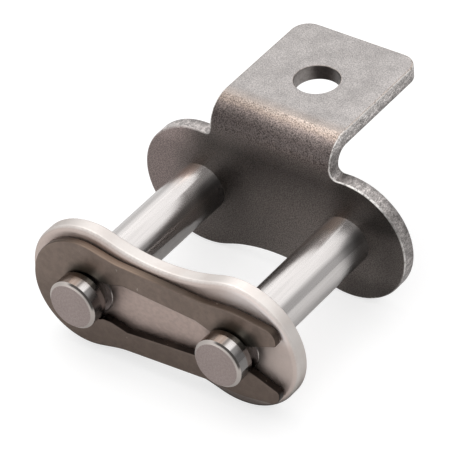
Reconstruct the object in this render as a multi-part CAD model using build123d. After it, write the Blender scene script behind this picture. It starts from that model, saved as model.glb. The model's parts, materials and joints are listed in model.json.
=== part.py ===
"""Connecting link of a 19.05 mm pitch roller chain, with a bent one-hole attachment tab.

Two pins are riveted into the attachment plate. A loose cover plate slips over their
other ends, and a spring clip in the pins' grooves keeps it there.
+Z is up, +X runs along the chain and +Y from the clip towards the tab. The origin is
the bottom centre of the whole link, which stands on the lobes of its two plates.
Millimetres throughout.
"""

import math
import os

from build123d import *

# Link
pitch = 19.05
width_between_plates = 19.0

# Plates
plate_thickness = 1.9
attachment_lobe_diameter = 15.35
attachment_waist_height = 11.65
attachment_edge_radius = 0.25
cover_lobe_diameter = 15.6
cover_waist_height = 12.3
cover_front_edge_radius = 0.6
cover_back_edge_radius = 0.15

# Attachment tab, measured from the pitch line and from the middle of the link
tab_width = 15.8
tab_top_height = 11.95
tab_reach = 28.0
tab_corner_radius = 2.2
neck_fillet_radius = 0.8
neck_straight_height = 0.1
tab_hole_diameter = 5.2
tab_hole_reach = 19.2
tab_hole_edge_radius = 0.12

# Pins
pin_diameter = 5.96
pin_head_reach = 15.0
pin_head_chamfer = 0.35
pin_edge_chamfer = 0.15
groove_diameter = 4.7
rivet_reach = 12.8
rivet_diameter = 6.5
rivet_crown_diameter = 5.2
rivet_crown_height = 0.35
cover_hole_clearance = 0.04

# Spring clip: its places along the chain are measured from the nearest pin's axis
clip_thickness = 0.95
clip_gap_to_cover = 0.15
clip_groove_clearance = 0.1
clip_seat_clearance = 0.07
clip_edge_radius = 0.15
clip_closed_end_radius = 6.7
clip_closed_seat_radius = 3.0
clip_closed_neck = 5.1
clip_closed_neck_start = 2.1
clip_closed_neck_end = 3.1
clip_wide_slot = 6.35
clip_wide_slot_place = 5.3
clip_narrow_slot = 4.85
clip_narrow_slot_place = 4.3
clip_open_neck = 3.55
clip_open_neck_place = 2.6
clip_shoulder_width = 11.7
clip_shoulder_place = 4.4
clip_waist_width = 10.6
clip_waist_place = 3.3
clip_jaw_width = 11.3
clip_jaw_place = 0.8
clip_tip_width = 9.8
clip_tip_reach = 6.05
clip_tip_flat_width = 0.35
clip_throat = 3.3
clip_throat_place = 2.3
clip_mouth_width = 6.3
clip_mouth_corner_radius = 0.45
clip_leg_blend_radius = 9.0
clip_slot_blend_radius = 0.6

# How far a cutting shape runs past what it cuts, how closely an edge's place is matched, and
# how many degrees two faces turn at an edge that counts as a corner
cut_overshoot = 1.0
match_tolerance = 0.01
least_corner_turn = 26.0

# Places worked out from the sizes above
half_pitch = pitch / 2
pin_radius = pin_diameter / 2
pitch_line_z = cover_lobe_diameter / 2
middle_y = (pin_head_reach - tab_reach) / 2
attachment_front_y = middle_y + width_between_plates / 2
attachment_back_y = attachment_front_y + plate_thickness
cover_back_y = middle_y - width_between_plates / 2
cover_front_y = cover_back_y - plate_thickness
clip_back_y = cover_front_y - clip_gap_to_cover
clip_front_y = clip_back_y - clip_thickness
groove_back_y = clip_back_y + clip_groove_clearance
groove_front_y = clip_front_y - clip_groove_clearance
pin_front_y = middle_y - pin_head_reach
pin_rivet_y = middle_y + rivet_reach


def across_chain(profile, front_y, thickness):
    """Extrude a profile drawn in X and Z about the pitch line, from front_y towards +Y."""
    back = Plane(origin=(0, front_y + thickness, pitch_line_z), x_dir=(1, 0, 0), z_dir=(0, -1, 0))
    return back * extrude(profile, thickness)


def figure_eight(lobe_diameter, waist_height):
    """Plate outline: a round lobe about each pin, joined by concave tangent arcs at the waist."""
    lobe_radius = lobe_diameter / 2
    waist_half = waist_height / 2
    waist_radius = (half_pitch**2 + waist_half**2 - lobe_radius**2) / (2 * (lobe_radius - waist_half))
    share = lobe_radius / (lobe_radius + waist_radius)
    join_x = half_pitch * (1 - share)
    join_z = (waist_half + waist_radius) * share
    lobe_end_x = half_pitch + lobe_radius
    top = ThreePointArc((join_x, join_z), (0, waist_half), (-join_x, join_z))
    left = ThreePointArc((-join_x, join_z), (-lobe_end_x, 0), (-join_x, -join_z))
    bottom = ThreePointArc((-join_x, -join_z), (0, -waist_half), (join_x, -join_z))
    right = ThreePointArc((join_x, -join_z), (lobe_end_x, 0), (join_x, join_z))
    return make_face([top, left, bottom, right])


def pin_places(shape):
    """The same flat shape about each pin's axis."""
    return Sketch() + [Pos(x, 0) * shape for x in (-half_pitch, half_pitch)]


def sharp_edges(solid):
    """Edges where two faces meet at a real corner, not where one runs smoothly into the next."""
    found = ShapeList()
    faces_of = {}
    corner_cosine = math.cos(math.radians(least_corner_turn))
    for face in solid.faces():
        for edge in face.edges():
            faces_of.setdefault(edge, []).append(face)
    for edge, faces in faces_of.items():
        if len(faces) != 2:
            continue
        middle = edge @ 0.5
        cosine = faces[0].normal_at(middle).dot(faces[1].normal_at(middle))
        if cosine < corner_cosine:
            found.append(edge)
    return found


def make_attachment_plate():
    """Flat figure-eight plate whose upper middle is bent back at a right angle into the tab."""
    neck_fillet_reach = attachment_lobe_diameter / 2 + neck_fillet_radius
    neck_fillet_offset = half_pitch - tab_width / 2 - neck_fillet_radius
    neck_top = math.sqrt(neck_fillet_reach**2 - neck_fillet_offset**2) + neck_straight_height
    bend_outer_radius = tab_top_height - neck_top
    bend_inner_radius = bend_outer_radius - plate_thickness
    top_z = pitch_line_z + tab_top_height
    bend_y = attachment_front_y + bend_outer_radius
    bend_z = top_z - bend_outer_radius
    tab_end_y = middle_y + tab_reach
    half_turn = math.sqrt(0.5)

    def bend_point(radius):
        return (bend_y - radius * half_turn, bend_z + radius * half_turn)

    strip = make_face(
        [
            Line((attachment_front_y, pitch_line_z), (attachment_front_y, bend_z)),
            ThreePointArc((attachment_front_y, bend_z), bend_point(bend_outer_radius), (bend_y, top_z)),
            Line((bend_y, top_z), (tab_end_y, top_z)),
            Line((tab_end_y, top_z), (tab_end_y, top_z - plate_thickness)),
            Line((tab_end_y, top_z - plate_thickness), (bend_y, top_z - plate_thickness)),
            ThreePointArc(
                (bend_y, top_z - plate_thickness), bend_point(bend_inner_radius), (attachment_back_y, bend_z)
            ),
            Line((attachment_back_y, bend_z), (attachment_back_y, pitch_line_z)),
            Line((attachment_back_y, pitch_line_z), (attachment_front_y, pitch_line_z)),
        ]
    )
    side = Plane(origin=(-tab_width / 2, 0, 0), x_dir=(0, 1, 0), z_dir=(1, 0, 0))
    bent_strip = side * extrude(strip, tab_width)
    outline = figure_eight(attachment_lobe_diameter, attachment_waist_height)
    plate = across_chain(outline, attachment_front_y, plate_thickness) + bent_strip

    def stands_at_neck(edge):
        middle = edge @ 0.5
        at_side = abs(abs(middle.X) - tab_width / 2) < match_tolerance
        at_lobe = attachment_waist_height / 2 < middle.Z - pitch_line_z < attachment_lobe_diameter / 2
        across = abs(middle.Y - (attachment_front_y + plate_thickness / 2)) < match_tolerance
        return at_side and at_lobe and across

    plate = fillet(plate.edges().filter_by(Axis.Y).filter_by(stands_at_neck), neck_fillet_radius)
    tab_corners = plate.edges().filter_by(Axis.Z).sort_by(Axis.Y)[-2:]
    plate = fillet(tab_corners, tab_corner_radius)
    plate = fillet(sharp_edges(plate), attachment_edge_radius)

    pin_holes = across_chain(pin_places(Circle(pin_radius)), attachment_front_y, plate_thickness)
    hole_place = Pos(0, middle_y + tab_hole_reach, top_z - plate_thickness / 2)
    tab_hole = hole_place * Cylinder(tab_hole_diameter / 2, plate_thickness + 2 * cut_overshoot)
    plate = plate - pin_holes - tab_hole

    def rims_tab_hole(edge):
        return abs(edge.radius - tab_hole_diameter / 2) < match_tolerance and edge.center().Z > bend_z

    rims = plate.edges().filter_by(GeomType.CIRCLE).filter_by(rims_tab_hole)
    return fillet(rims, tab_hole_edge_radius)


def make_cover_plate():
    """Figure-eight plate with two slip-fit holes, its outer edges rounded most at the front."""
    outline = figure_eight(cover_lobe_diameter, cover_waist_height)
    plate = across_chain(outline, cover_front_y, plate_thickness)
    plate = fillet(plate.faces().sort_by(Axis.Y)[0].edges(), cover_front_edge_radius)
    plate = fillet(plate.faces().sort_by(Axis.Y)[-1].edges(), cover_back_edge_radius)
    holes = pin_places(Circle(pin_radius + cover_hole_clearance))
    return plate - across_chain(holes, cover_front_y, plate_thickness)


def make_pin(axis_x):
    """Turned pin: chamfered head, clip groove, plain shank, and an upset rivet end at the back."""
    groove_radius = groove_diameter / 2
    rivet_radius = rivet_diameter / 2
    crown_y = pin_rivet_y - rivet_crown_height
    half_section = [
        (0, pin_front_y),
        (pin_radius - pin_head_chamfer, pin_front_y),
        (pin_radius, pin_front_y + pin_head_chamfer),
        (pin_radius, groove_front_y - pin_edge_chamfer),
        (pin_radius - pin_edge_chamfer, groove_front_y),
        (groove_radius, groove_front_y),
        (groove_radius, groove_back_y),
        (pin_radius - pin_edge_chamfer / 2, groove_back_y),
        (pin_radius, groove_back_y + pin_edge_chamfer / 2),
        (pin_radius, attachment_back_y),
        (rivet_radius, attachment_back_y),
        (rivet_radius, crown_y),
        (rivet_crown_diameter / 2, pin_rivet_y),
        (0, pin_rivet_y),
    ]
    section = Plane.XY * Polygon(*half_section, align=None)
    return Pos(axis_x, 0, pitch_line_z) * revolve(section, Axis.Y)


def mirrored(points):
    """Close a half outline, given from left to right above the pitch line, with its mirror image."""
    return Polygon(*[(x, -z) for x, z in points], *reversed(points), align=None)


def nearest_corners(shape, places):
    """The outline's corners nearest to the given places above the pitch line, and their mirror images."""
    corners = ShapeList()
    for x, z in places:
        for side in (1, -1):
            corners.append(shape.vertices().sort_by_distance((x, side * z, 0))[0])
    return corners


def clip_blank():
    """Outer outline: a round closed end, slightly bent tapering legs, a waist, and blunt tips."""
    shoulder = (clip_shoulder_place - half_pitch, clip_shoulder_width / 2)
    waist = (half_pitch - clip_waist_place, clip_waist_width / 2)
    jaw = (half_pitch + clip_jaw_place, clip_jaw_width / 2)
    tip = (half_pitch + clip_tip_reach, clip_tip_width / 2)
    distance = math.hypot(clip_shoulder_place, shoulder[1])
    turn = math.atan2(shoulder[1], clip_shoulder_place) + math.acos(clip_closed_end_radius / distance)
    touch = (
        clip_closed_end_radius * math.cos(turn) - half_pitch,
        clip_closed_end_radius * math.sin(turn),
    )
    blank = Pos(-half_pitch, 0) * Circle(clip_closed_end_radius) + mirrored([touch, shoulder, waist, jaw, tip])
    blank = fillet(nearest_corners(blank, [shoulder, waist, jaw]), clip_leg_blend_radius)
    tip_corner_radius = (clip_tip_width - clip_mouth_width) / 2 - clip_tip_flat_width
    return fillet(nearest_corners(blank, [tip]), tip_corner_radius)


def clip_opening():
    """Inner outline: a seat about each groove, a slot between them and a flared mouth."""
    open_seat_radius = groove_diameter / 2 + clip_seat_clearance
    closed_seat_x = -half_pitch - open_seat_radius + clip_closed_seat_radius
    neck_half = clip_closed_neck / 2
    neck_start = (clip_closed_neck_start - half_pitch, neck_half)
    neck_end = (clip_closed_neck_end - half_pitch, neck_half)
    wide = (clip_wide_slot_place - half_pitch, clip_wide_slot / 2)
    narrow = (half_pitch - clip_narrow_slot_place, clip_narrow_slot / 2)
    open_neck = (half_pitch - clip_open_neck_place, clip_open_neck / 2)
    slot = mirrored([(closed_seat_x, neck_half), neck_end, wide, narrow, open_neck, (half_pitch, open_neck[1])])
    throat = (half_pitch + clip_throat_place, clip_throat / 2)
    mouth_slope = (clip_mouth_width - clip_throat) / 2 / (clip_tip_reach - clip_throat_place)
    beyond_x = half_pitch + clip_tip_reach + cut_overshoot
    beyond = (beyond_x, throat[1] + mouth_slope * (beyond_x - throat[0]))
    mouth = mirrored([(half_pitch, throat[1]), throat, beyond])
    seats = Pos(closed_seat_x, 0) * Circle(clip_closed_seat_radius) + Pos(half_pitch, 0) * Circle(open_seat_radius)
    opening = seats + slot + mouth
    blends = nearest_corners(opening, [neck_start, neck_end, wide, narrow, open_neck])
    return fillet(blends, clip_slot_blend_radius), throat


def make_spring_clip():
    """Flat stamped spring clip, closed about the left pin and sprung over the right one."""
    opening, throat = clip_opening()
    profile = clip_blank() - opening
    profile = fillet(nearest_corners(profile, [throat]), clip_slot_blend_radius)
    mouth_corner = (half_pitch + clip_tip_reach, clip_mouth_width / 2)
    profile = fillet(nearest_corners(profile, [mouth_corner]), clip_mouth_corner_radius)
    clip = across_chain(profile, clip_front_y, clip_thickness)
    return fillet(sharp_edges(clip), clip_edge_radius)


parts = {
    "attachment_plate": make_attachment_plate(),
    "left_pin": make_pin(-half_pitch),
    "right_pin": make_pin(half_pitch),
    "cover_plate": make_cover_plate(),
    "spring_clip": make_spring_clip(),
}

os.makedirs("parts", exist_ok=True)
for name, solid in parts.items():
    export_step(solid, f"parts/{name}.step")
    print(name, "volume", round(solid.volume, 1))
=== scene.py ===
import json
import math

import bpy
from mathutils import Matrix, Vector


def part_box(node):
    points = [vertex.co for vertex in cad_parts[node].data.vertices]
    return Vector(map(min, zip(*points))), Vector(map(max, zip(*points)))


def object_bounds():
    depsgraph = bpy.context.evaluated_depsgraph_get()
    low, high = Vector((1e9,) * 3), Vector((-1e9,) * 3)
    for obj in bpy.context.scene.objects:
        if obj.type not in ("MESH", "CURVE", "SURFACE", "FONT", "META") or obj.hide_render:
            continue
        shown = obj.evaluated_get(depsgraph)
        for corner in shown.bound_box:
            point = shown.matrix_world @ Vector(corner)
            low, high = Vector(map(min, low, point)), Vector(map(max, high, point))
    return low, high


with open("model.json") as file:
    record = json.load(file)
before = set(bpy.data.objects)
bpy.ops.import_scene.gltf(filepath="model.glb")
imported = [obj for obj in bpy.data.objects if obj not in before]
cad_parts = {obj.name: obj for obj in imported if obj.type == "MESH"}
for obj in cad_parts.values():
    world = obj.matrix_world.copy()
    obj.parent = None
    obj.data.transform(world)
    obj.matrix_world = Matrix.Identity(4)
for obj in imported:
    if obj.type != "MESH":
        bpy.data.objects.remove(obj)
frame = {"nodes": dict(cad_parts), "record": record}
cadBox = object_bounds()
print("frame loaded:", ", ".join(sorted(frame["nodes"])))

mm = 0.001
roundedLeans = (0.15, 0.38), (0.92, 0.78)  # how a rounded edge starts to lean, and how it ends
pitchLineZ = (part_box("cover_plate")[0][2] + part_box("cover_plate")[1][2]) / 2 / mm  # height of the pins' axes


class Nodes:
    # the node tree of a material or of the world, with short calls for the nodes used here
    def __init__(self, tree):
        self.tree = tree
        tree.nodes.clear()

    def add(self, kind, **inputs):
        node = self.tree.nodes.new("ShaderNode" + kind)
        for name, value in inputs.items():
            self.put(node, name, value)
        return node

    def put(self, node, name, value):
        # a socket goes by its name, with _ for a space, or by its number after an i
        numbered = name[0] == "i" and name[1:].isdigit()
        socket = node.inputs[int(name[1:]) if numbered else name.replace("_", " ")]
        if isinstance(value, bpy.types.NodeSocket):
            self.tree.links.new(value, socket)
        else:
            socket.default_value = value

    def math(self, operation, a, b=0.0):
        node = self.add("Math", i0=a, i1=b)
        node.operation = operation
        return node.outputs[0]

    def times(self, first, *others):
        for other in others:
            first = self.math("MULTIPLY", first, other)
        return first

    def most(self, first, *others):
        for other in others:
            first = self.math("MAXIMUM", first, other)
        return first

    def ramp(self, value, low, high, outLow=0.0, outHigh=1.0):
        # value goes smoothly from outLow at low to outHigh at high
        node = self.add("MapRange", Value=value, From_Min=low, From_Max=high, To_Min=outLow, To_Max=outHigh)
        node.interpolation_type = "SMOOTHSTEP"
        return node.outputs[0]

    def mix(self, share, a, b):
        # a where share is 0 and b where it is 1
        node = self.add("Mix")
        node.data_type = "RGBA"
        self.put(node, "i0", share)
        for name, colour in (("i6", a), ("i7", b)):
            self.put(node, name, colour if isinstance(colour, bpy.types.NodeSocket) else (*colour, 1))
        return node.outputs[2]

    def tone(self, colour, share):
        # colour made lighter or darker by a factor
        node = self.add("VectorMath", i0=colour)
        node.operation = "SCALE"
        self.put(node, "Scale", share)
        return node.outputs[0]

    def shade(self, colour, where, share):
        # colour times share where the mask is 1, and as it was where the mask is 0
        return self.tone(colour, self.ramp(where, 0.0, 1.0, 1.0, share))

    def tones(self, value, stops):
        # stops are (value, colour), from the lowest value to the highest
        low, high = stops[0][0], stops[-1][0]
        share = self.add("MapRange", Value=value, From_Min=low, From_Max=high).outputs[0]
        node = self.add("ValToRGB", Fac=share)
        elements = node.color_ramp.elements
        for at, _ in stops[1:-1]:
            elements.new((at - low) / (high - low))
        for element, (_, colour) in zip(elements, stops):
            element.color = (*colour, 1)
        return node.outputs["Color"]

    def noise(self, vector, scale, detail=2.0, roughness=0.5):
        node = self.add("TexNoise", Vector=vector, Scale=scale, Detail=detail, Roughness=roughness)
        return node.outputs["Fac"]

    def stray(self, noise, reach):
        # the noise about zero, so that a border wanders by reach in all
        return self.math("MULTIPLY", self.math("SUBTRACT", noise, 0.5), reach)

    def place(self, centre=(0, 0, 0), stretch=(1, 1, 1)):
        # object coordinates in millimetres about centre, squeezed by stretch
        coords = self.add("TexCoord")
        mapping = self.add("Mapping", Vector=coords.outputs["Object"])
        mapping.vector_type = "POINT"
        mapping.inputs["Scale"].default_value = [s / mm for s in stretch]
        mapping.inputs["Location"].default_value = [-c * s for c, s in zip(centre, stretch)]
        return mapping.outputs[0]

    def axis(self, vector, name):
        return self.add("SeparateXYZ", Vector=vector).outputs[name]

    def normal(self, name):
        coords = self.add("TexCoord")
        return self.axis(coords.outputs["Normal"], name)

    def rounded(self, lean):
        # 1 where a normal's share along one axis is neither all nor nothing, as on a rounded edge
        return self.times(*(self.ramp(lean, *leans) for leans in roundedLeans))

    def fromPins(self, aside=0.0, above=0.0):
        # distance in millimetres from the nearer pin's axis, or from a line aside and above it
        low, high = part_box("right_pin")
        at = self.place((aside, 0, pitchLineZ + above))
        along = self.math("SUBTRACT", self.math("ABSOLUTE", self.axis(at, "X")), (low[0] + high[0]) / 2 / mm)
        up = self.axis(at, "Z")
        return self.math("SQRT", self.math("ADD", self.times(along, along), self.times(up, up)))

    def fromTabHole(self):
        # distance in millimetres outside the tab's bolt hole
        hole = next(m for m in frame["record"]["mounts"] if m["name"] == "tab_hole")
        at = self.place([c / mm for c in hole["pos_m"]], (1, 1, 0))
        length = self.add("VectorMath", i0=at)
        length.operation = "LENGTH"
        return self.math("SUBTRACT", length.outputs["Value"], hole["dims"]["r_mm"])

    def bump(self, height, strength, depth, normal=None):
        node = self.add("Bump", Height=height, Strength=strength, Distance=depth * mm)
        if normal:
            self.put(node, "Normal", normal)
        return node.outputs[0]

    def metal(self, colour, roughness, normal):
        shader = self.add("BsdfPrincipled", Base_Color=colour, Metallic=1.0, Roughness=roughness)
        self.put(shader, "Normal", normal)
        self.add("OutputMaterial", Surface=shader.outputs[0])
        return shader


def newMaterial(name):
    material = bpy.data.materials.new(name)
    material.use_nodes = True
    return material, Nodes(material.node_tree)


def dress(node, material):
    piece = frame["nodes"][node]
    piece.data.materials.clear()
    piece.data.materials.append(material)


# In the settings, places are in millimetres, along and across the link from its middle and up from
# its foot. A lean is the share of a surface's normal along one axis. A noise is its scale, detail and
# roughness. A range is where it starts and ends, then what it gives there if that isn't 0 and 1.
attachment = {
    "tones": (  # by height, up the plate and round the bend
        (2.0, (0.210, 0.187, 0.174)),
        (9.0, (0.190, 0.169, 0.157)),
        (12.0, (0.143, 0.128, 0.120)),
        (14.3, (0.100, 0.090, 0.084)),
        (16.6, (0.171, 0.150, 0.142)),
        (17.5, (0.150, 0.128, 0.122)),
        (18.3, (0.109, 0.090, 0.085)),
        (18.8, (0.137, 0.115, 0.108)),
        (19.2, (0.214, 0.176, 0.163)),
        (19.5, (0.290, 0.235, 0.203)),
        (19.7, (0.370, 0.315, 0.280)),
    ),
    "grainNoise": (7.3, 2, 0.7),
    "blotchNoise": (0.45, 4, 0.6),
    "speckNoise": (1.8, 4, 0.7),
    "blotchReach": 2.0,
    "speckReach": 0.5,
    "alongShares": (-6.0, 5.0, 0.83, 1.28),
    "bendStartsAt": 16.34,  # height
    "bendEndsAt": 6.42,  # across the chain
    "bendBlur": 0.1,

    "lobeReflectionColour": (0.270, 0.220, 0.208),  # the lobe at the clip's closed end
    "lobeAlong": (-9.0, -15.0),
    "lobeSlant": (10.0, 15.0, 0.0, 1.3),  # by height, how far the lobe's border moves
    "lobeTop": (11.0, 14.5),
    "lobeTopReflectionShare": 1.35,
    "darkAlong": (6.0, 11.0),  # the lobe at the clip's open end
    "darkUp": (9.0, 12.0),
    "darkLobeShadeShare": 0.50,
    "darkLobeEndShadeShares": (12.0, 15.5, 1.0, 0.66),
    "footAlong": (6.5, 10.5),
    "footUp": (5.5, 1.5),
    "footShadeShare": 0.55,
    "pinShadeAside": 1.8,
    "pinShadeAbove": 0.6,
    "pinShadeShares": (3.0, 6.0, 0.80, 1.0),

    "tabTopLightColour": (0.430, 0.405, 0.395),
    "crestColour": (0.400, 0.348, 0.318),
    "crestAcross": (5.8, 7.6),
    "flatLean": (0.975, 0.999),
    "tabAlongShares": (5.0, 7.5, 1.0, 1.10),
    "tabBlotchShares": (0.35, 0.65, 0.92, 1.09),
    "stainColour": (0.20, 0.165, 0.135),
    "stainShares": (0.55, 0.75, 0.0, 0.25),

    "rimTones": (
        (15.3, (0.430, 0.400, 0.388)),
        (16.2, (0.238, 0.220, 0.214)),
        (18.0, (0.225, 0.208, 0.202)),
        (18.7, (0.470, 0.442, 0.430)),
    ),
    "rimSideLean": (0.75, 0.95),
    "rimLean": (0.45, 0.15),
    "rimUp": (16.5, 16.4),
    "markStretch": (2.6, 1.2, 2.6),
    "markNoise": (1.0, 4, 0.65),
    "markShares": (0.36, 0.64, 0.70, 1.30),
    "rimLeftShares": (-11.5, -14.0, 1.0, 1.25),
    "rimRightShares": (13.5, 15.5, 1.0, 0.82),
    "rimBackAcross": (3.6, 4.9),
    "rimBackUp": 1.0,
    "rimFrontShare": 1.08,
    "rimBackShare": 0.78,

    "grainUp": (15.0, 17.0),  # from the plate's grain to the bend's
    "plateGrain": (0.60, 1.45),
    "bendGrain": (0.45, 1.75),
    "tabGrain": (0.72, 1.32),
    "grainRange": (0.34, 0.66),

    "edgeHighlightColour": (0.95, 0.92, 0.89),
    "edgeWear": (0.36, 0.56, 0.30, 1.0),
    "edgeLeft": (-8.5, -7.5, 0.25, 0.9),
    "edgeRight": (13.6, 15.0, 0.95, 0.35),
    "edgeTip": (16.2, 17.0, 0.0, 0.75),
    "edgeFromPins": (3.3, 3.9),

    "holeColour": (0.24, 0.22, 0.21),
    "holeMottle": (0.36, 0.62, 0.85, 1.12),
    "holeSideLightShares": (0.55, 0.95, 0.82, 1.55),
    "holeReach": (0.10, 0.02),

    "roughness": (0.3, 0.7, 0.36, 0.52),
    "grainBump": (0.6, 0.03),  # strength and depth
    "speckBump": (0.5, 0.05),
}


def attachmentSteel():
    s = attachment
    material, n = newMaterial("attachment_steel")
    at = n.place()
    along, across, height = (n.axis(at, name) for name in "XYZ")
    towards = {name: n.math("ABSOLUTE", n.normal(name)) for name in "XYZ"}
    grain, blotch, speck = (n.noise(at, *s[name]) for name in ("grainNoise", "blotchNoise", "speckNoise"))
    wander = n.math("ADD", along, n.stray(blotch, s["blotchReach"]))
    blur = s["bendBlur"]
    onTab = n.ramp(across, s["bendEndsAt"] - blur, s["bendEndsAt"] + blur)
    onBend = n.math("SUBTRACT", n.ramp(height, s["bendStartsAt"] - blur, s["bendStartsAt"] + blur), onTab)

    # the tones up the plate and round the bend, darkest just under the bend as painted shade, with painted
    # reflection bands on the bend and a pale golden crest, lighter towards the clip's open end
    colour = n.tones(n.math("ADD", height, n.stray(speck, s["speckReach"])), s["tones"])
    colour = n.tone(colour, n.ramp(along, *s["alongShares"]))

    # the lobe at the closed end painted paler as a painted reflection, lighter at its top; the lobe at the open
    # end, its end and its foot darkened as painted shade; and painted shade round the pins
    lobe = n.ramp(n.math("SUBTRACT", wander, n.ramp(height, *s["lobeSlant"])), *s["lobeAlong"])
    colour = n.mix(lobe, colour, s["lobeReflectionColour"])
    colour = n.shade(colour, n.times(lobe, n.ramp(height, *s["lobeTop"])), s["lobeTopReflectionShare"])
    dark = n.times(n.ramp(wander, *s["darkAlong"]), n.ramp(height, *s["darkUp"]))
    colour = n.shade(colour, dark, s["darkLobeShadeShare"])
    colour = n.tone(colour, n.ramp(wander, *s["darkLobeEndShadeShares"]))
    foot = n.times(n.ramp(along, *s["footAlong"]), n.ramp(height, *s["footUp"]))
    colour = n.shade(colour, foot, s["footShadeShare"])
    pinShade = n.fromPins(s["pinShadeAside"], s["pinShadeAbove"])
    colour = n.tone(colour, n.ramp(pinShade, *s["pinShadeShares"]))

    # the flat top of the tab, painted lighter where it faces up as painted light and browner near the crest,
    # then stains
    flat = n.ramp(n.normal("Z"), *s["flatLean"])
    tab = n.mix(n.ramp(across, *s["crestAcross"]), s["crestColour"], s["tabTopLightColour"])
    tab = n.tone(tab, n.ramp(along, *s["tabAlongShares"]))
    tab = n.tone(tab, n.ramp(blotch, *s["tabBlotchShares"]))
    colour = n.mix(flat, colour, tab)
    colour = n.mix(n.ramp(speck, *s["stainShares"]), colour, s["stainColour"])

    # cut rims, with marks across them: the sides, and round the plate as far up as the bend
    rim = n.times(n.ramp(towards["Y"], *s["rimLean"]), n.ramp(height, *s["rimUp"]))
    rim = n.most(n.ramp(towards["X"], *s["rimSideLean"]), rim)
    mark = n.noise(n.place(stretch=s["markStretch"]), *s["markNoise"])
    rimColour = n.tone(n.tones(height, s["rimTones"]), n.ramp(mark, *s["markShares"]))
    rimColour = n.tone(rimColour, n.ramp(along, *s["rimLeftShares"]))
    upToBend = n.ramp(height, s["bendStartsAt"], s["bendStartsAt"] - s["rimBackUp"])
    back = n.times(n.ramp(across, *s["rimBackAcross"]), upToBend)
    rimColour = n.tone(rimColour, n.ramp(back, 0.0, 1.0, s["rimFrontShare"], s["rimBackShare"]))
    rimColour = n.tone(rimColour, n.ramp(along, *s["rimRightShares"]))
    colour = n.mix(rim, colour, rimColour)

    # grain: fainter on the tab, strongest on the bend
    bend = n.ramp(height, *s["grainUp"])
    low, high = (
        n.ramp(flat, 0.0, 1.0, n.ramp(bend, 0.0, 1.0, plateShare, bendShare), tabShare)
        for plateShare, bendShare, tabShare in zip(s["plateGrain"], s["bendGrain"], s["tabGrain"])
    )
    colour = n.tone(colour, n.ramp(grain, *s["grainRange"], low, high))

    # painted highlight on the rounded edges, patchy like wear: round the plate, on the bend's sides and round
    # the tab
    edge = n.times(n.rounded(towards["Y"]), n.ramp(height, s["bendStartsAt"] + blur, s["bendStartsAt"]))
    edge = n.most(edge, n.times(n.rounded(towards["X"]), onBend), n.times(n.rounded(towards["Z"]), onTab))
    lobeEdge = n.most(n.ramp(along, *s["edgeRight"]), n.ramp(along, *s["edgeTip"]))
    lobeEdge = n.math("MINIMUM", lobeEdge, n.ramp(along, *s["edgeLeft"]))
    edge = n.times(edge, n.ramp(speck, *s["edgeWear"]), lobeEdge, n.ramp(n.fromPins(), *s["edgeFromPins"]))
    colour = n.mix(edge, colour, s["edgeHighlightColour"])

    # the wall of the bolt hole, with painted light on one side
    holeColour = n.tone(s["holeColour"], n.ramp(speck, *s["holeMottle"]))
    holeColour = n.tone(holeColour, n.ramp(n.normal("X"), *s["holeSideLightShares"]))
    colour = n.mix(n.ramp(n.fromTabHole(), *s["holeReach"]), colour, holeColour)

    surface = n.bump(grain, *s["grainBump"])
    surface = n.bump(speck, *s["speckBump"], surface)
    n.metal(colour, n.ramp(grain, *s["roughness"]), surface)
    return material


dress("attachment_plate", attachmentSteel())
print("attachment plate finished")


# Along a pin, places are measured from its front end or, near the attachment plate, from the plate.
pin = {
    "colour": (0.785, 0.75, 0.735),
    "streakColour": (0.42, 0.39, 0.37),
    "streakStretch": (3.0, 0.12, 3.0),
    "streakNoise": (1.0, 3),
    "streakShares": (0.35, 0.7, 0.0, 0.15),
    "smearNoise": (0.5, 3),
    "fineNoise": (5.0, 3),

    "brownReflectionColour": (0.50, 0.30, 0.19),  # painted brown reflection
    "tintLength": 4.0,
    "tintShare": 0.45,
    "tintReach": 3.0,
    "tintTop": (0.80, 0.95),
    "cleanSide": (-0.05, 0.20),
    "cleanTop": (0.0, 0.3),

    "neckFront": (0.2, 0.4),  # the side of the head and the groove behind it
    "neckBack": (4.0, 2.6),
    "headReflectionShares": (0.45, 0.10, 0.0, 0.85),
    "headReflectionSmear": (0.35, 0.60, 0.75, 1.0),
    "neckUpper": (0.44, 0.24),
    "neckUpperShadeShare": 0.32,
    "neckSide": (0.52, 0.62),
    "neckSideShares": (0.05, 0.45, 0.8, 1.0),
    "plateEnd": (-6.0, -2.0),  # the shank's side near the plate
    "plateEndSide": (0.40, 0.75),
    "shadedShare": 0.32,
    "innerAlong": (4.0, 5.0),  # the side of the left pin that faces the right one
    "innerSide": (0.66, 0.88),
    "innerShare": 0.70,
    "grooveShadeColour": (0.13, 0.125, 0.115),
    "grooveShares": (2.85, 2.6, 0.0, 0.85),

    "faceColour": (0.41, 0.335, 0.317),
    "fleckColour": (0.55, 0.48, 0.46),
    "fleckShares": (0.4, 0.7, 0.0, 0.45),
    "turning": 11.0,
    "turningStray": 7.0,
    "turningShares": (-1.0, 1.0, 0.975, 1.025),
    "chamferColour": (0.63, 0.575, 0.54),
    "chamferLean": (-0.35, -0.6),
    "faceLean": (-0.88, -0.97),
    "arcTowards": (0.62, 0.79),  # right and up
    "arcWidth": (0.46, 0.62),
    "arcRadii": (2.72, 2.84),
    "arcReflectionShare": 0.16,
    "rivet": (1.0, 1.2),  # from inside the plate on

    "roughness": 0.17,
    "headRoughness": 0.40,
    "stretch": 0.8,  # of the highlights, and their turn as part of a circle
    "turn": 0.25,
    "headLength": 1.6,
    "headCrown": 0.20,  # rise for each millimetre, as the flare's is where it ends
    "flare": 0.22,
    "flareLength": 5.0,
    "fineBump": (0.2, 0.004),
}


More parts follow.
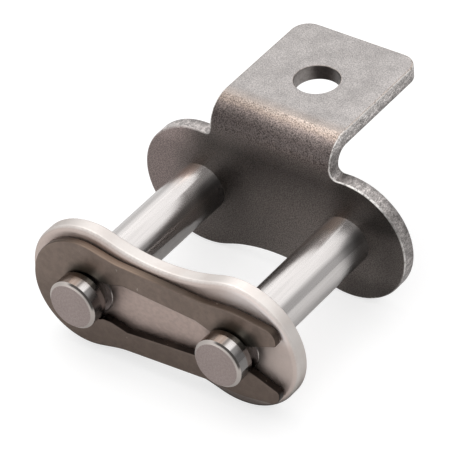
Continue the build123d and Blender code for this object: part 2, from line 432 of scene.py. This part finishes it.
def pinSteel(node):
    s = pin
    low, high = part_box(node)
    centre = ((low[0] + high[0]) / 2 / mm, low[1] / mm, pitchLineZ)
    plateY = (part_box("attachment_plate")[0][1] - low[1]) / mm
    material, n = newMaterial("pin_steel_" + node.split("_")[0])
    at = n.place(centre)
    alongY = n.axis(at, "Y")
    radius = n.fromPins()
    right, back, up = (n.normal(name) for name in "XYZ")
    streak = n.noise(n.place(centre, s["streakStretch"]), *s["streakNoise"])
    smear = n.noise(at, *s["smearNoise"])
    fine = n.noise(at, *s["fineNoise"])

    # painted brown reflection on top near the plate, but for the side that takes the highlight
    clean = n.times(n.ramp(right, *s["cleanSide"]), n.ramp(up, *s["cleanTop"]))
    tint = n.math("ADD", alongY, n.math("MULTIPLY", smear, s["tintReach"]))
    tint = n.ramp(tint, plateY - s["tintLength"], plateY, 0.0, s["tintShare"])
    tint = n.times(tint, n.math("SUBTRACT", 1.0, clean), n.ramp(up, *s["tintTop"]))

    # the head's side gets the painted brown reflection as well, and painted shade above its highlight
    neck = n.times(n.ramp(alongY, *s["neckFront"]), n.ramp(alongY, *s["neckBack"]))
    headReflection = n.times(neck, n.ramp(right, *s["headReflectionShares"]), n.ramp(smear, *s["headReflectionSmear"]))
    colour = n.mix(n.most(tint, headReflection), s["colour"], s["brownReflectionColour"])
    colour = n.shade(colour, n.times(neck, n.ramp(right, *s["neckUpper"])), s["neckUpperShadeShare"])
    colour = n.mix(n.ramp(streak, *s["streakShares"]), colour, s["streakColour"])

    # shade below that highlight, on the shank's side near the plate and between the pins
    neckSide = n.times(neck, n.ramp(right, *s["neckSide"]), n.ramp(up, *s["neckSideShares"]))
    plateEnd = n.ramp(alongY, *(plateY + place for place in s["plateEnd"]))
    plateEnd = n.times(plateEnd, n.ramp(right, *s["plateEndSide"]))
    colour = n.shade(colour, n.most(neckSide, plateEnd), s["shadedShare"])
    if node == "left_pin":
        inner = n.times(n.ramp(alongY, *s["innerAlong"]), n.ramp(right, *s["innerSide"]))
        colour = n.shade(colour, inner, s["innerShare"])
    # painted shade in the groove behind the head
    colour = n.mix(n.ramp(radius, *s["grooveShares"]), colour, s["grooveShadeColour"])

    # the end: a face with faint turned rings, inside a light chamfer with a painted dark reflection at the upper
    # right
    rings = n.math("MULTIPLY", fine, s["turningStray"])
    rings = n.math("ADD", n.math("MULTIPLY", radius, s["turning"]), rings)
    faceTone = n.tone(s["faceColour"], n.ramp(n.math("SINE", rings), *s["turningShares"]))
    faceTone = n.mix(n.ramp(fine, *s["fleckShares"]), faceTone, s["fleckColour"])
    facing = (n.math("MULTIPLY", way, share) for way, share in zip((right, up), s["arcTowards"]))
    arc = n.times(n.ramp(n.math("ADD", *facing), *s["arcWidth"]), n.ramp(radius, *s["arcRadii"]))
    chamferTone = n.shade(s["chamferColour"], arc, s["arcReflectionShare"])
    onEnd = n.ramp(back, *s["chamferLean"])
    colour = n.mix(onEnd, colour, n.mix(n.ramp(back, *s["faceLean"]), chamferTone, faceTone))
    rivet = n.ramp(alongY, *(plateY + place for place in s["rivet"]))
    colour = n.mix(rivet, colour, faceTone)
    roughness = n.ramp(n.most(onEnd, rivet), 0.0, 1.0, s["roughness"], s["headRoughness"])

    # for reflections only, the head is a little crowned and the shank flares a little to the plate
    crown = n.math("MULTIPLY", n.math("MINIMUM", alongY, s["headLength"]), s["headCrown"])
    flare = n.most(n.math("SUBTRACT", alongY, plateY - s["flareLength"]), 0.0)
    flare = n.times(flare, flare, s["flare"] / 2 / s["flareLength"])
    surface = n.bump(n.math("ADD", crown, flare), 1.0, 1.0)
    surface = n.bump(fine, *s["fineBump"], surface)

    # turned steel stretches its highlights
    shader = n.metal(colour, roughness, surface)
    shader.inputs["Anisotropic"].default_value = s["stretch"]
    shader.inputs["Anisotropic Rotation"].default_value = s["turn"]
    around = n.add("Tangent")
    around.direction_type = "RADIAL"
    around.axis = "Y"
    n.put(shader, "Tangent", around.outputs[0])
    return material


for node in ("left_pin", "right_pin"):
    dress(node, pinSteel(node))
print("pins finished")


cover = {
    "faceColour": (0.74, 0.63, 0.58),
    "faceLean": (0.5, 0.95),
    "rimColour": (0.77, 0.725, 0.695),
    "blotchColour": (0.60, 0.52, 0.48),
    "blotchNoise": (0.3, 2),
    "blotchShares": (0.4, 0.7, 0.0, 0.3),
    "slotShadeColour": (0.62, 0.50, 0.453),  # what shows inside the clip
    "slotAcross": (3.6, 2.6),
    "slotAlong": (9.5, 8.0),
    "slotStretch": (1.6, 1, 2.0),
    "slotNoise": (1.0, 3),
    "slotMottle": (0.35, 0.65, 0.94, 1.05),
    "lowShadeShare": 0.38,
    "lowUp": (0.8, 2.8),
    "lowLean": (-0.15, -0.6),
    "nearPinShadeShares": (3.0, 4.4, 0.50, 1.0),
    "upperRightLightColour": (0.95, 0.87, 0.84),
    "upperRightUp": (10.0, 12.0),
    "upperRightAlong": (7.0, 11.0),
    "upperRightRimLightShare": 1.15,
    "edgeShadeAndLightShares": (4.0, 13.0, 0.90, 1.06),
    "edgeRougher": 0.22,
    "edgeTint": (0.60, 0.57, 0.55, 1.0),  # of what the steel mirrors at a low angle
    "roughness": (0.3, 0.7, 0.42, 0.52),
    "grainNoise": (4.0, 3),
    "grainBump": (0.3, 0.02),
}


def coverSteel():
    s = cover
    material, n = newMaterial("cover_steel")
    at = n.place()
    along, height = n.axis(at, "X"), n.axis(at, "Z")
    grain = n.noise(at, *s["grainNoise"])
    towardsFace = n.math("ABSOLUTE", n.normal("Y"))
    face = n.ramp(towardsFace, *s["faceLean"])
    edge = n.rounded(towardsFace)
    colour = n.mix(face, s["rimColour"], s["faceColour"])
    colour = n.mix(n.ramp(n.noise(at, *s["blotchNoise"]), *s["blotchShares"]), colour, s["blotchColour"])

    # painted shade inside the clip, mottled
    fromPitchLine = n.math("ABSOLUTE", n.math("SUBTRACT", height, pitchLineZ))
    inSlot = n.ramp(fromPitchLine, *s["slotAcross"])
    inSlot = n.times(inSlot, n.ramp(n.math("ABSOLUTE", along), *s["slotAlong"]), face)
    mottle = n.noise(n.place(stretch=s["slotStretch"]), *s["slotNoise"])
    colour = n.mix(inSlot, colour, n.tone(s["slotShadeColour"], n.ramp(mottle, *s["slotMottle"])))

    # painted shade at the foot, underneath and round the pins
    colour = n.tone(colour, n.ramp(height, *s["lowUp"], s["lowShadeShare"], 1.0))
    colour = n.tone(colour, n.ramp(n.normal("Z"), *s["lowLean"], 1.0, s["lowShadeShare"]))
    colour = n.tone(colour, n.ramp(n.fromPins(), *s["nearPinShadeShares"]))

    # painted light at the upper right, on the face and on the rim, and the rounded edge painted darker on the
    # left and lighter on the right
    upperRight = n.times(n.ramp(height, *s["upperRightUp"]), n.ramp(along, *s["upperRightAlong"]))
    colour = n.mix(n.times(upperRight, face), colour, s["upperRightLightColour"])
    colour = n.shade(colour, edge, n.ramp(along, *s["edgeShadeAndLightShares"]))
    onRim = n.math("SUBTRACT", n.math("SUBTRACT", 1.0, face), edge)
    colour = n.shade(colour, n.times(upperRight, onRim), s["upperRightRimLightShare"])

    roughness = n.math("ADD", n.ramp(grain, *s["roughness"]), n.math("MULTIPLY", edge, s["edgeRougher"]))
    shader = n.metal(colour, roughness, n.bump(grain, *s["grainBump"]))
    shader.inputs["Specular Tint"].default_value = s["edgeTint"]
    return material


dress("cover_plate", coverSteel())
print("cover plate finished")


clip = {
    "faceColour": (0.245, 0.190, 0.160),
    "faceLean": (0.5, 0.95),
    "lowerShadeShare": 0.80,
    "lowerBlur": 1.5,
    "smearStretch": (0.5, 1, 0.8),
    "smearNoise": (1.0, 4, 0.6),
    "smearShares": (0.35, 0.65, 0.97, 1.04),
    "mottleNoise": (1.3, 5, 0.65),
    "mottleShares": (0.35, 0.65, 0.93, 1.08),
    "roundEndShares": (-12.0, -16.0, 1.0, 1.12),
    "pinShadeColour": (0.071, 0.068, 0.056),
    "pinShadeShares": (3.9, 2.35, 0.0, 0.95),
    "pinShadeAside": 1.0,
    "pinShadeAbove": 1.1,

    "rimColour": (0.022, 0.018, 0.016),
    "litRimColour": (0.30, 0.22, 0.17),
    "outerUp": (4.4, 5.0),  # above the pitch line
    "outerEnd": (-13.4, -14.2),
    "tipAlong": (13.4, 14.2),
    "tipUp": (0.0, 2.0),
    "litRimShares": (3.0, -5.0, 0.20, 0.80),
    "litRimEndShares": (-12.0, -7.0, 0.35, 1.0),
    "rimBackShadeShares": (0.35, 0.75, 1.0, 0.75),  # behind the clip's front

    "blotchColour": (0.16, 0.125, 0.105),
    "blotchNoise": (0.25, 2),
    "blotchShares": (0.4, 0.7, 0.0, 0.2),
    "nickColour": (0.60, 0.54, 0.48),
    "nickStretch": (1.6, 1, 0.9),
    "nickNoise": (1.0, 4),
    "nickShares": (0.70, 0.73, 0.0, 0.5),
    "roughness": (0.3, 0.7, 0.30, 0.42),
    "grainNoise": (6.0, 3),
    "grainBump": (0.2, 0.015),
}


def clipSteel():
    s = clip
    material, n = newMaterial("clip_steel")
    at = n.place()
    along, across, height = (n.axis(at, name) for name in "XYZ")
    abovePitchLine = n.math("SUBTRACT", height, pitchLineZ)
    grain = n.noise(at, *s["grainNoise"])

    # the rim is painted lit bronze along the top, round the closed end and at the tip, and in painted shade,
    # nearly black, elsewhere and towards its back
    tip = n.times(n.ramp(along, *s["tipAlong"]), n.ramp(abovePitchLine, *s["tipUp"]))
    outer = n.most(n.ramp(abovePitchLine, *s["outerUp"]), n.ramp(along, *s["outerEnd"]), tip)
    litRim = n.times(outer, n.ramp(along, *s["litRimShares"]), n.ramp(along, *s["litRimEndShares"]))
    rim = n.mix(litRim, s["rimColour"], s["litRimColour"])
    behindFront = n.math("SUBTRACT", across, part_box("spring_clip")[0][1] / mm)
    rim = n.tone(rim, n.ramp(behindFront, *s["rimBackShadeShares"]))

    # the face has painted shade round the pins and a little on the lower leg, and is mottled
    pinShade = n.ramp(n.fromPins(s["pinShadeAside"], s["pinShadeAbove"]), *s["pinShadeShares"])
    faceTone = n.mix(pinShade, s["faceColour"], s["pinShadeColour"])
    smear = n.noise(n.place(stretch=s["smearStretch"]), *s["smearNoise"])
    mottle = n.noise(at, *s["mottleNoise"])
    faceTone = n.tone(faceTone, n.times(
        n.ramp(abovePitchLine, -s["lowerBlur"], s["lowerBlur"], s["lowerShadeShare"], 1.0),
        n.ramp(smear, *s["smearShares"]),
        n.ramp(mottle, *s["mottleShares"]),
        n.ramp(along, *s["roundEndShares"]),
    ))
    colour = n.mix(n.ramp(n.math("ABSOLUTE", n.normal("Y")), *s["faceLean"]), rim, faceTone)

    # blotches, and a few bright nicks
    colour = n.mix(n.ramp(n.noise(at, *s["blotchNoise"]), *s["blotchShares"]), colour, s["blotchColour"])
    nick = n.noise(n.place(stretch=s["nickStretch"]), *s["nickNoise"])
    colour = n.mix(n.ramp(nick, *s["nickShares"]), colour, s["nickColour"])
    n.metal(colour, n.ramp(grain, *s["roughness"]), n.bump(grain, *s["grainBump"]))
    return material


dress("spring_clip", clipSteel())
print("spring clip finished")


# the studio's places and sizes are in metres
studio = {
    "floorColour": (0.62, 0.62, 0.62),
    "floorGlow": 0.04,
    "seenColour": (0.42, 0.42, 0.42),
    "seenGlow": 0.68,
    "floorSize": 3.0,
    "floorGap": 0.02 * mm,  # keeps the floor clear of the lobes that stand on it
    "horizonLevel": 0.55,
    "horizonLean": -0.12,
    "overheadLevel": 1.10,
    "overheadLean": -0.15,
    "overheadFrom": 0.26,
    "overheadTo": 0.62,
    "keyPlace": (-0.30, 0.10, 0.62),
    "keySize": 0.45,
    "keyLevel": 1.2,
    "keyColour": (1.0, 0.985, 0.97),
}


def makeFloor():
    half = studio["floorSize"] / 2
    z = cadBox[0][2] - studio["floorGap"]
    mesh = bpy.data.meshes.new("floor")
    corners = [(-half, -half, z), (half, -half, z), (half, half, z), (-half, half, z)]
    mesh.from_pydata(corners, [], [(0, 1, 2, 3)])
    floor = bpy.data.objects.new("floor", mesh)
    bpy.context.scene.collection.objects.link(floor)
    material, n = newMaterial("floor_white")
    # white in the open either way, with a paler shadow straight on than in a reflection
    paths = n.add("LightPath")
    straight = paths.outputs["Is Camera Ray"]
    mirrored = n.most(paths.outputs["Is Glossy Ray"], paths.outputs["Is Transmission Ray"])
    glow = n.math("MULTIPLY", straight, studio["seenGlow"])
    glow = n.math("ADD", glow, n.math("MULTIPLY", mirrored, studio["floorGlow"]))
    shader = n.add("BsdfDiffuse", Color=n.mix(straight, studio["floorColour"], studio["seenColour"]))
    lit = n.add("Emission", Color=(1, 1, 1, 1), Strength=glow)
    both = n.add("AddShader", i0=shader.outputs[0], i1=lit.outputs[0])
    n.add("OutputMaterial", Surface=both.outputs[0])
    mesh.materials.append(material)


def makeKeyLight():
    data = bpy.data.lights.new("key_softbox", "AREA")
    data.shape = "SQUARE"
    data.size = studio["keySize"]
    data.energy = studio["keyLevel"] * math.pi * studio["keySize"] ** 2
    data.color = studio["keyColour"]
    lamp = bpy.data.objects.new("key_softbox", data)
    lamp.location = studio["keyPlace"]
    lamp.rotation_mode = "QUATERNION"
    lamp.rotation_quaternion = (-Vector(studio["keyPlace"])).to_track_quat("-Z", "Y")
    bpy.context.scene.collection.objects.link(lamp)


def makeWorld():
    # a big soft light overhead, leaning to the left, over a dimmer horizon, and white where it is seen
    world = bpy.data.worlds.new("studio_world")
    bpy.context.scene.world = world
    world.use_nodes = True
    n = Nodes(world.node_tree)
    ray = n.add("TexCoord").outputs["Generated"]
    aside = n.axis(ray, "X")
    above = n.math("ADD", n.axis(ray, "Z"), n.math("MULTIPLY", aside, studio["overheadLean"]))
    horizon = n.math("ADD", n.math("MULTIPLY", aside, studio["horizonLean"]), studio["horizonLevel"])
    level = n.ramp(above, studio["overheadFrom"], studio["overheadTo"], horizon, studio["overheadLevel"])
    strength = n.most(level, n.add("LightPath").outputs["Is Camera Ray"])
    background = n.add("Background", Color=(1, 1, 1, 1), Strength=strength)
    n.add("OutputWorld", Surface=background.outputs[0])


makeFloor()
makeKeyLight()
makeWorld()
print("studio ready")


# angles in degrees, and lengths in millimetres but for the clipping
camera = {
    "azimuth": 37.735,
    "elevation": 37.954,
    "roll": -4.559,
    "aimRight": 0.151,
    "aimUp": 3.714,
    "distance": 427.114,
    "origin": (0.0, -6.5, pitchLineZ),
    "focalPixels": 3948.42,
    "picturePixels": 450,
    "sensorWidth": 36,
    "clipStart": 0.01,
    "clipEnd": 20,
}


def placeCamera():
    s = camera
    azimuth, elevation, roll = (math.radians(s[key]) for key in ("azimuth", "elevation", "roll"))
    back = Vector((
        math.sin(azimuth) * math.cos(elevation),
        -math.cos(azimuth) * math.cos(elevation),
        math.sin(elevation),
    ))
    level = Vector((math.cos(azimuth), math.sin(azimuth), 0))
    upright = back.cross(level)
    right = math.cos(roll) * level + math.sin(roll) * upright
    up = math.cos(roll) * upright - math.sin(roll) * level
    place = Vector(s["origin"]) + s["aimRight"] * right + s["aimUp"] * up + s["distance"] * back
    data = bpy.data.cameras.new("camera")
    data.sensor_width = s["sensorWidth"]
    data.lens = s["sensorWidth"] * s["focalPixels"] / s["picturePixels"]
    data.clip_start = s["clipStart"]
    data.clip_end = s["clipEnd"]
    seen = bpy.data.objects.new("camera", data)
    seen.matrix_world = Matrix.Translation(place * mm) @ Matrix((right, up, back)).transposed().to_4x4()
    bpy.context.scene.collection.objects.link(seen)
    bpy.context.scene.camera = seen


placeCamera()
bpy.context.scene.view_settings.view_transform = "Standard"
print("camera placed")
